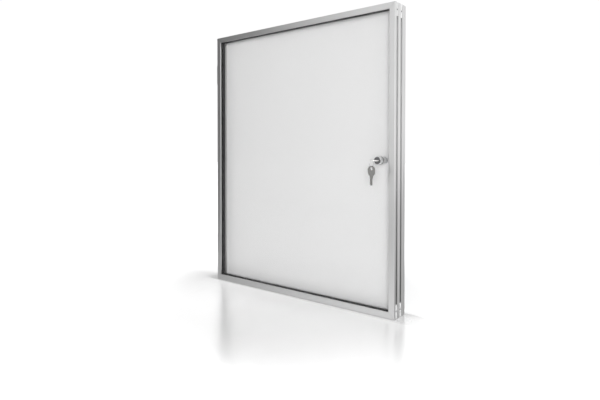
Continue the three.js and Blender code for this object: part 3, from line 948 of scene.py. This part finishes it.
class NOTICE_OT_lock(Operator):
    """Makes the lock's barrel and finishes its plug, washers, nut and cam"""

    bl_idname = "notice_board.lock"
    bl_label = "Lock"

    def execute(self, context):
        settings = context.scene.notice_board
        chrome = lock_chrome("lock_chrome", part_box("lock_barrel")[0].y)
        # The plug is coloured dark as a painted reflection of the dark room in its face.
        plug = bright_plate("plug_chrome", PLATING_PAINTED_DARK, roughness=0.2)
        zinc = zinc_plate("cam_zinc", tuple(settings.zinc), spangle=420)
        dress("lock_front_washer", soft_rubber("washer_rubber", tuple(settings.rubber)))
        dress("lock_rear_washer", soft_rubber("pale_rubber", PALE_RUBBER))
        soften(dress("lock_nut", chrome), settings.edge_radius * 1.6)
        soften(dress("lock_plug", plug), settings.edge_radius * 0.6)
        soften(dress("lock_cam", zinc), settings.edge_radius)
        soften(dress("cam_screw", zinc), settings.edge_radius)
        self.make_barrel(chrome)
        return {"FINISHED"}

    def make_barrel(self, chrome):
        """A threaded barrel with a rounded head, turned round the plug."""
        low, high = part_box("lock_barrel")
        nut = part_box("lock_nut")
        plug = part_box("lock_plug")
        centre = (low + high) / 2
        radius = (high.x - low.x) / 2
        nut_wall, plug_play = 2 * MM, 0.1 * MM
        thread = (nut[1] - nut[0]).z / 2 - nut_wall
        seat = (plug[1].x - plug[0].x) / 2 + plug_play
        seat_end = low.y + 1.9 * MM
        bore = 6.1 * MM
        edge = 0.9 * MM
        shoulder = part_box("lock_front_washer")[0].y - 0.1 * MM
        rim = [(radius - edge + x, low.y + edge + y) for x, y in arc(0, 0, edge, -90, 0, 8)]
        groove, pitch = 0.25 * MM, 1 * MM
        turns = int((high.y - shoulder - pitch) / pitch)
        thread_line = []
        for i in range(turns):
            y = shoulder + pitch * (i + 0.5)
            thread_line += [(thread, y), (thread - groove, y + pitch / 2)]
        profile = [
            (seat, low.y),
            *rim,
            (radius, shoulder),
            (thread, shoulder),
            *thread_line,
            (thread - groove, high.y),
            (bore, high.y),
            (bore, seat_end),
            (seat, seat_end),
        ]
        bm = bmesh.new()

        def upright(u, v, h):
            return (centre.x + u, h, centre.z + v)

        add_turned(bm, profile, upright, steps=72, closed=True)
        finish_piece(bm, "lock_body", chrome, "door", ["lock_barrel"])


class NOTICE_OT_keys(Operator):
    """Makes the two keys and the split ring that joins them"""

    bl_idname = "notice_board.keys"
    bl_label = "Keys"

    def execute(self, context):
        sizes = context.scene.notice_keys
        bright = bright_plate("key_nickel", BRIGHT_NICKEL, roughness=0.32, metallic=0.35)
        # The spare key's dark colour is a painted reflection.
        wear_and_painted_reflection = bright_plate("spare_key_nickel", NICKEL_PAINTED_DARK, roughness=0.22)
        steel = bright_plate("ring_steel", RING_STEEL, roughness=0.14)
        low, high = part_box("key_in_lock")
        middle = (low + high) / 2
        spare_low, spare_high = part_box("spare_key")
        hung = (spare_low + spare_high) / 2

        def level(u, v, h):
            return (middle.x + u, low.y + v, middle.z + h)

        def hanging(u, v, h):
            return (hung.x + u, hung.y + h, spare_high.z - v)

        edge = 0.22 * MM
        bm = self.key_mesh(sizes, high - low, level)
        finish_piece(bm, "first_key", bright, "key", ["key_in_lock"], edge)
        bm = self.key_mesh(sizes, high - low, hanging)
        finish_piece(bm, "second_key", wear_and_painted_reflection, "spare", ["spare_key"], edge)
        self.make_ring(steel)
        return {"FINISHED"}

    def key_mesh(self, sizes, extent, place):
        """Draws a key from the end of its bow at 0 to the tip of its blade."""
        total = extent.y
        radius = extent.x / 2
        shoulder = total - sizes.blade
        half, neck = sizes.blade_width / 2, sizes.neck_width / 2
        tip = 1.25 * MM
        start, bend, end = shoulder - sizes.neck_straight, shoulder - sizes.neck, radius
        steps = 12
        curve = [(neck, start)]
        for i in range(1, steps + 1):
            t = i / steps
            x = (1 - t) ** 2 * neck + (1 - (1 - t) ** 2) * radius
            y = (1 - t) ** 2 * start + 2 * t * (1 - t) * bend + t * t * end
            curve.append((x, y))
        bite_count, bite_depth, first_bite = 5, 1.6 * MM, sizes.blade * 0.2
        pitch = sizes.blade * 0.16
        bites = []
        for i in range(bite_count):
            y = shoulder + first_bite + pitch * i
            bites += [(half, y - pitch / 3), (half - bite_depth, y), (half, y + pitch / 3)]
        outline = [(half, shoulder), *bites, (tip, total), (-tip, total)]
        outline += [(-half, total - 2 * tip), (-half, shoulder), (-neck, shoulder)]
        outline += [(-x, y) for x, y in curve]
        outline += arc(0, radius, radius, 180, 360, 40)[1:-1]
        outline += [*reversed(curve), (neck, shoulder)]
        hole_half = sizes.hole_width / 2
        near = sizes.bar + hole_half
        far = near + sizes.hole_length - sizes.hole_width
        hole = arc(0, near, hole_half, 180, 360, 18) + arc(0, far, hole_half, 0, 180, 18)
        bm = bmesh.new()
        add_prism(bm, [outline, hole], -extent.z / 2, extent.z / 2, place)
        return bm

    def make_ring(self, material):
        """A split ring of two turns of spring wire."""
        low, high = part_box("key_ring")
        centre = (low + high) / 2
        wire = (high.x - low.x) / 4
        radius = (high.y - low.y) / 2 - wire - 0.2 * MM
        steps, sides, turns = 72, 10, 2
        bm = bmesh.new()
        rings = []
        for i in range(steps * turns + 1):
            angle = 2 * math.pi * i / steps
            drift = wire * (2 * i / (steps * turns) - 1)
            shift = max(-wire, min(wire, drift * 3))
            ring = []
            for j in range(sides):
                a = 2 * math.pi * j / sides
                out = radius + wire * math.cos(a)
                place = (
                    centre.x + shift + wire * math.sin(a),
                    centre.y + out * math.sin(angle),
                    centre.z + out * math.cos(angle),
                )
                ring.append(bm.verts.new(place))
            rings.append(ring)
        add_bands(bm, rings)
        bm.faces.new(rings[0])
        bm.faces.new(list(reversed(rings[-1])))
        finish_piece(bm, "split_ring", material, "ring", ["key_ring"])


class NOTICE_OT_hangers(Operator):
    """Finishes the hangers and makes the screws that hold them to the top rail"""

    bl_idname = "notice_board.hangers"
    bl_label = "Hangers"

    def execute(self, context):
        settings = context.scene.notice_board
        sizes = context.scene.notice_fasteners
        zinc = zinc_plate("hanger_zinc", tuple(settings.zinc), spangle=260)
        steel = bright_plate("hanger_screw_steel", SCREW_STEEL, roughness=0.28)
        for side in ("left", "right"):
            node = f"hanger_{side}"
            soften(dress(node, zinc), settings.edge_radius)
            bm = self.screws_mesh(node, sizes)
            finish_piece(bm, f"hanger_screws_{side}", steel, "case")
        return {"FINISHED"}

    def screws_mesh(self, node, sizes):
        """Two screws whose heads lie under the hanger's upper flange."""
        low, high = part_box(node)
        sheet, drop = 1.5 * MM, 1.7 * MM
        centre = (low.x + high.x) / 2
        middle = (low.y + high.y - sheet) / 2
        under = high.z - sheet - drop
        head = sizes.hanger_head
        bm = bmesh.new()
        for way in (-1, 1):
            x = centre + way * sizes.hanger_spacing / 2
            add_screw(
                bm,
                lambda u, v, h: (x + u, middle + v, under + h),
                head,
                shaft=head * 0.5,
                head_height=1.6 * MM,
                length=5.5 * MM,
            )
        return bm


class NOTICE_OT_stage(Operator):
    """Makes the floor, the light and the camera"""

    bl_idname = "notice_board.stage"
    bl_label = "Stage"

    def execute(self, context):
        settings = context.scene.notice_stage
        self.make_world(context.scene, settings)
        self.make_floor(settings)
        self.make_flags()
        self.make_lamp("key", place=(2.9, -4.7, 0.0), power=settings.key_power)
        self.make_lamp("side", place=(5.2, 0.6, 1.5), power=settings.side_power)
        self.make_camera(context.scene, settings)
        context.scene.view_settings.view_transform = "Standard"
        return {"FINISHED"}

    def make_world(self, scene, settings):
        """A dim dome of light that is white where it is seen, mirrored or looked through."""
        world = bpy.data.worlds.new("studio")
        world.use_nodes = True
        scene.world = world
        nodes = Nodes(world.node_tree)
        path = nodes.node("ShaderNodeLightPath")
        seen = path.output("Is Camera Ray").at_least(path.output("Is Glossy Ray"))
        seen = seen.at_least(path.output("Is Transmission Ray"))
        shader = world.node_tree.nodes["Background"]
        nodes.fill(shader.inputs["Color"], WHITE)
        strength = nodes.span(seen, 0, 1, settings.dome, settings.backdrop)
        nodes.fill(shader.inputs["Strength"], strength)

    def make_sheet(self, name, corners, material):
        """A flat four-sided sheet that belongs to the stage."""
        mesh = bpy.data.meshes.new(name)
        mesh.from_pydata(corners, [], [(0, 1, 2, 3)])
        mesh.materials.append(material)
        sheet = bpy.data.objects.new(name, mesh)
        bpy.context.scene.collection.objects.link(sheet)
        return sheet

    def make_floor(self, settings):
        """A white floor, glossy near the board; the metal mirrors it as a dimmer studio floor."""
        finish = Finish("floor_white", roughness=0.6)
        x, y, _ = finish.axes()
        path = finish.node("ShaderNodeLightPath")
        mirrored = path.output("Is Glossy Ray")
        seen = path.output("Is Camera Ray").at_least(path.output("Is Transmission Ray"))
        # Painted shade round the board's foot darkens both the floor's colour and its glow.
        painted_contact = self.painted_contact_shade(finish, x, y)
        white = finish.mix(painted_contact, BLACK, FLOOR_WHITE)
        finish.set("Base Color", finish.mix(mirrored, white, BLACK))
        strength = seen * self.glow_seen(finish, y, settings) * painted_contact
        strength = strength + mirrored * self.glow_mirrored(finish, x, y)
        inputs = {0: finish.main_shader(), 1: finish.emission(strength)}
        lit = finish.node("ShaderNodeAddShader", None, inputs)
        gloss = finish.node("ShaderNodeBsdfGlossy", None, {"Color": WHITE, "Roughness": 0.22})
        share = self.gloss_share(finish, x, y) * (1 - mirrored) * settings.floor_gloss
        finish.end_with(finish.node("ShaderNodeMixShader", None, {0: share, 1: lit, 2: gloss}))
        reach = 14
        level = FOOT - 0.4 * MM
        outline = [(-reach, -reach), (reach, -reach), (reach, reach), (-reach, reach)]
        corners = [(u, v, level) for u, v in outline]
        self.make_sheet("floor", corners, finish.material)

    # In the spans below, the first two numbers are places in metres, the last two are shares.

    def painted_contact_shade(self, finish, x, y):
        """Painted shade: the floor is painted darker in a border round the board's foot, which is
        narrow in front.
        """
        border, narrowing = 70 * MM, 4
        beside = (abs(x) - CAD_BOX[1].x).at_least(0)
        ahead = (y - CAD_BOX[1].y).at_least(DOOR_FRONT - y).at_least(0) * narrowing
        distance = (beside * beside + ahead * ahead) ** 0.5
        return finish.span(distance, -10 * MM, border, 0.45, 1)

    def glow_seen(self, finish, y, settings):
        """The glow that keeps the floor white away from the board, and its shadow soft."""
        away = finish.node("ShaderNodeVectorMath", {"operation": "LENGTH"}, {0: finish.place()})
        glow = finish.span(y, -0.5, -0.25, 0.45, 1) * settings.floor_glow
        return finish.span(away.output("Value"), 0.8, 0.98, glow, 1)

    def glow_mirrored(self, finish, x, y):
        """How bright the metal mirrors the floor in front of the board and behind it."""
        behind = finish.span(y, -0.07, -0.03)
        front = finish.span(x, -0.45, 0.35, 0.4, 0.86) * finish.span(x, -1.3, -0.5, 0.45, 1)
        slant = x * 0.5 + y * 0.86
        rear = finish.span(slant, 0.1, 1.3, 0.48, 0.6)
        return front * (1 - behind) + rear * behind

    def gloss_share(self, finish, x, y):
        """The gloss lies in front of the board, and fades away from it and to its left end."""
        slant = y * 0.779 - x * 0.627
        near = finish.span(slant, -1.1, -0.15)
        before = finish.span(y, -0.03, 0.02, 1, 0) * finish.span(y, -0.6, -0.42)
        along = finish.span(x, -0.35, -0.31) * finish.span(x, -0.36, 0.1, 0.2, 1)
        return near * before * along

    def make_flags(self):
        """Upright sheets that only the metal, the glass and the glossy floor reflect."""
        finish = Finish("flag_left_grey")
        x, _, z = finish.axes()
        side = finish.span(x, -2.05, -1.0, 0, 1.1)
        low = finish.span(z, FOOT, -0.1, 0.2, 0)
        depth = finish.node("ShaderNodeLightPath").output("Glossy Depth")
        second_time = finish.span(depth, 1, 2) * 1.25
        strength = side.at_least(low).at_least(second_time)
        self.make_flag("flag_left", finish, strength, [(-2.7, -1.228), (-0.3, -2.634)], top=3)

        finish = Finish("flag_right_grey")
        x, _, z = finish.axes()
        height = finish.span(z, FOOT, -0.4, 0.55, 1.15) * finish.span(z, -0.1, 0.12, 1, 0.9)
        strength = height * finish.span(x, 0.2, 1.25, 0.7, 1)
        self.make_flag("flag_right", finish, strength, [(-0.2, 2.09), (2.4, 0.6)], top=0.12)

        finish = Finish("card_front_white")
        _, _, z = finish.axes()
        strength = finish.span(z, FOOT, -0.1, 0.9, 1.5) + finish.span(z, 0, 0.7, 0, 0.7)
        self.make_flag("card_front", finish, strength, [(1.6, -3.6), (4.2, -0.2)], top=1.4)

    def make_flag(self, name, finish, strength, ends, top):
        """A sheet that stands between two points of the floor and reaches up to top."""
        finish.end_with(finish.emission(strength))
        start, end = ends
        foot = -0.74
        corners = [(*start, foot), (*end, foot), (*end, top), (*start, top)]
        flag = self.make_sheet(name, corners, finish.material)
        flag.visible_camera = False
        flag.visible_diffuse = False
        flag.visible_transmission = False
        flag.visible_shadow = False

    def make_lamp(self, name, place, power):
        """A soft lamp that lights the board and the floor, but isn't seen in the metal or glass."""
        aim = Vector((0, 0, -0.4))
        lamp = bpy.data.lights.new(name, "AREA")
        lamp.shape = "SQUARE"
        lamp.size = 2.4
        lamp.energy = power
        light = bpy.data.objects.new(name, lamp)
        light.location = place
        light.rotation_mode = "QUATERNION"
        light.rotation_quaternion = (aim - light.location).to_track_quat("-Z", "Y")
        light.visible_camera = False
        light.visible_glossy = False
        light.visible_transmission = False
        bpy.context.scene.collection.objects.link(light)

    def make_camera(self, scene, settings):
        lens = bpy.data.cameras.new("camera")
        lens.lens = settings.lens
        lens.shift_y = settings.lens_shift
        lens.sensor_width = 36
        lens.clip_end = 60
        camera = bpy.data.objects.new("camera", lens)
        camera.location = settings.camera_place
        camera.rotation_euler = settings.camera_turn
        scene.collection.objects.link(camera)
        scene.camera = camera


STEPS = (
    NOTICE_OT_frames,
    NOTICE_OT_connectors,
    NOTICE_OT_glazing,
    NOTICE_OT_panel,
    NOTICE_OT_hinges,
    NOTICE_OT_lock,
    NOTICE_OT_keys,
    NOTICE_OT_hangers,
    NOTICE_OT_stage,
)


class NOTICE_PT_sidebar(Panel):
    """Lists the settings and the steps that make the notice board"""

    bl_label = "Notice Board"
    bl_idname = "NOTICE_PT_sidebar"
    bl_space_type = "VIEW_3D"
    bl_region_type = "UI"
    bl_category = "Notice Board"

    def draw(self, context):
        scene = context.scene
        groups = (
            scene.notice_board,
            scene.notice_fasteners,
            scene.notice_keys,
            scene.notice_stage,
        )
        for group in groups:
            box = self.layout.box()
            for name in group.bl_rna.properties.keys():
                if name not in ("rna_type", "name"):
                    box.prop(group, name)
        for step in STEPS:
            self.layout.operator(step.bl_idname)


CLASSES = (
    BoardSettings,
    FastenerSettings,
    KeySettings,
    StageSettings,
    *STEPS,
    NOTICE_PT_sidebar,
)


def register():
    for cls in CLASSES:
        bpy.utils.register_class(cls)
    bpy.types.Scene.notice_board = PointerProperty(type=BoardSettings)
    bpy.types.Scene.notice_fasteners = PointerProperty(type=FastenerSettings)
    bpy.types.Scene.notice_keys = PointerProperty(type=KeySettings)
    bpy.types.Scene.notice_stage = PointerProperty(type=StageSettings)


def unregister():
    del bpy.types.Scene.notice_stage
    del bpy.types.Scene.notice_keys
    del bpy.types.Scene.notice_fasteners
    del bpy.types.Scene.notice_board
    for cls in reversed(CLASSES):
        bpy.utils.unregister_class(cls)


def main():
    register()
    for step in STEPS:
        group, name = step.bl_idname.split(".")
        getattr(getattr(bpy.ops, group), name)()


if __name__ == "__main__":
    main()
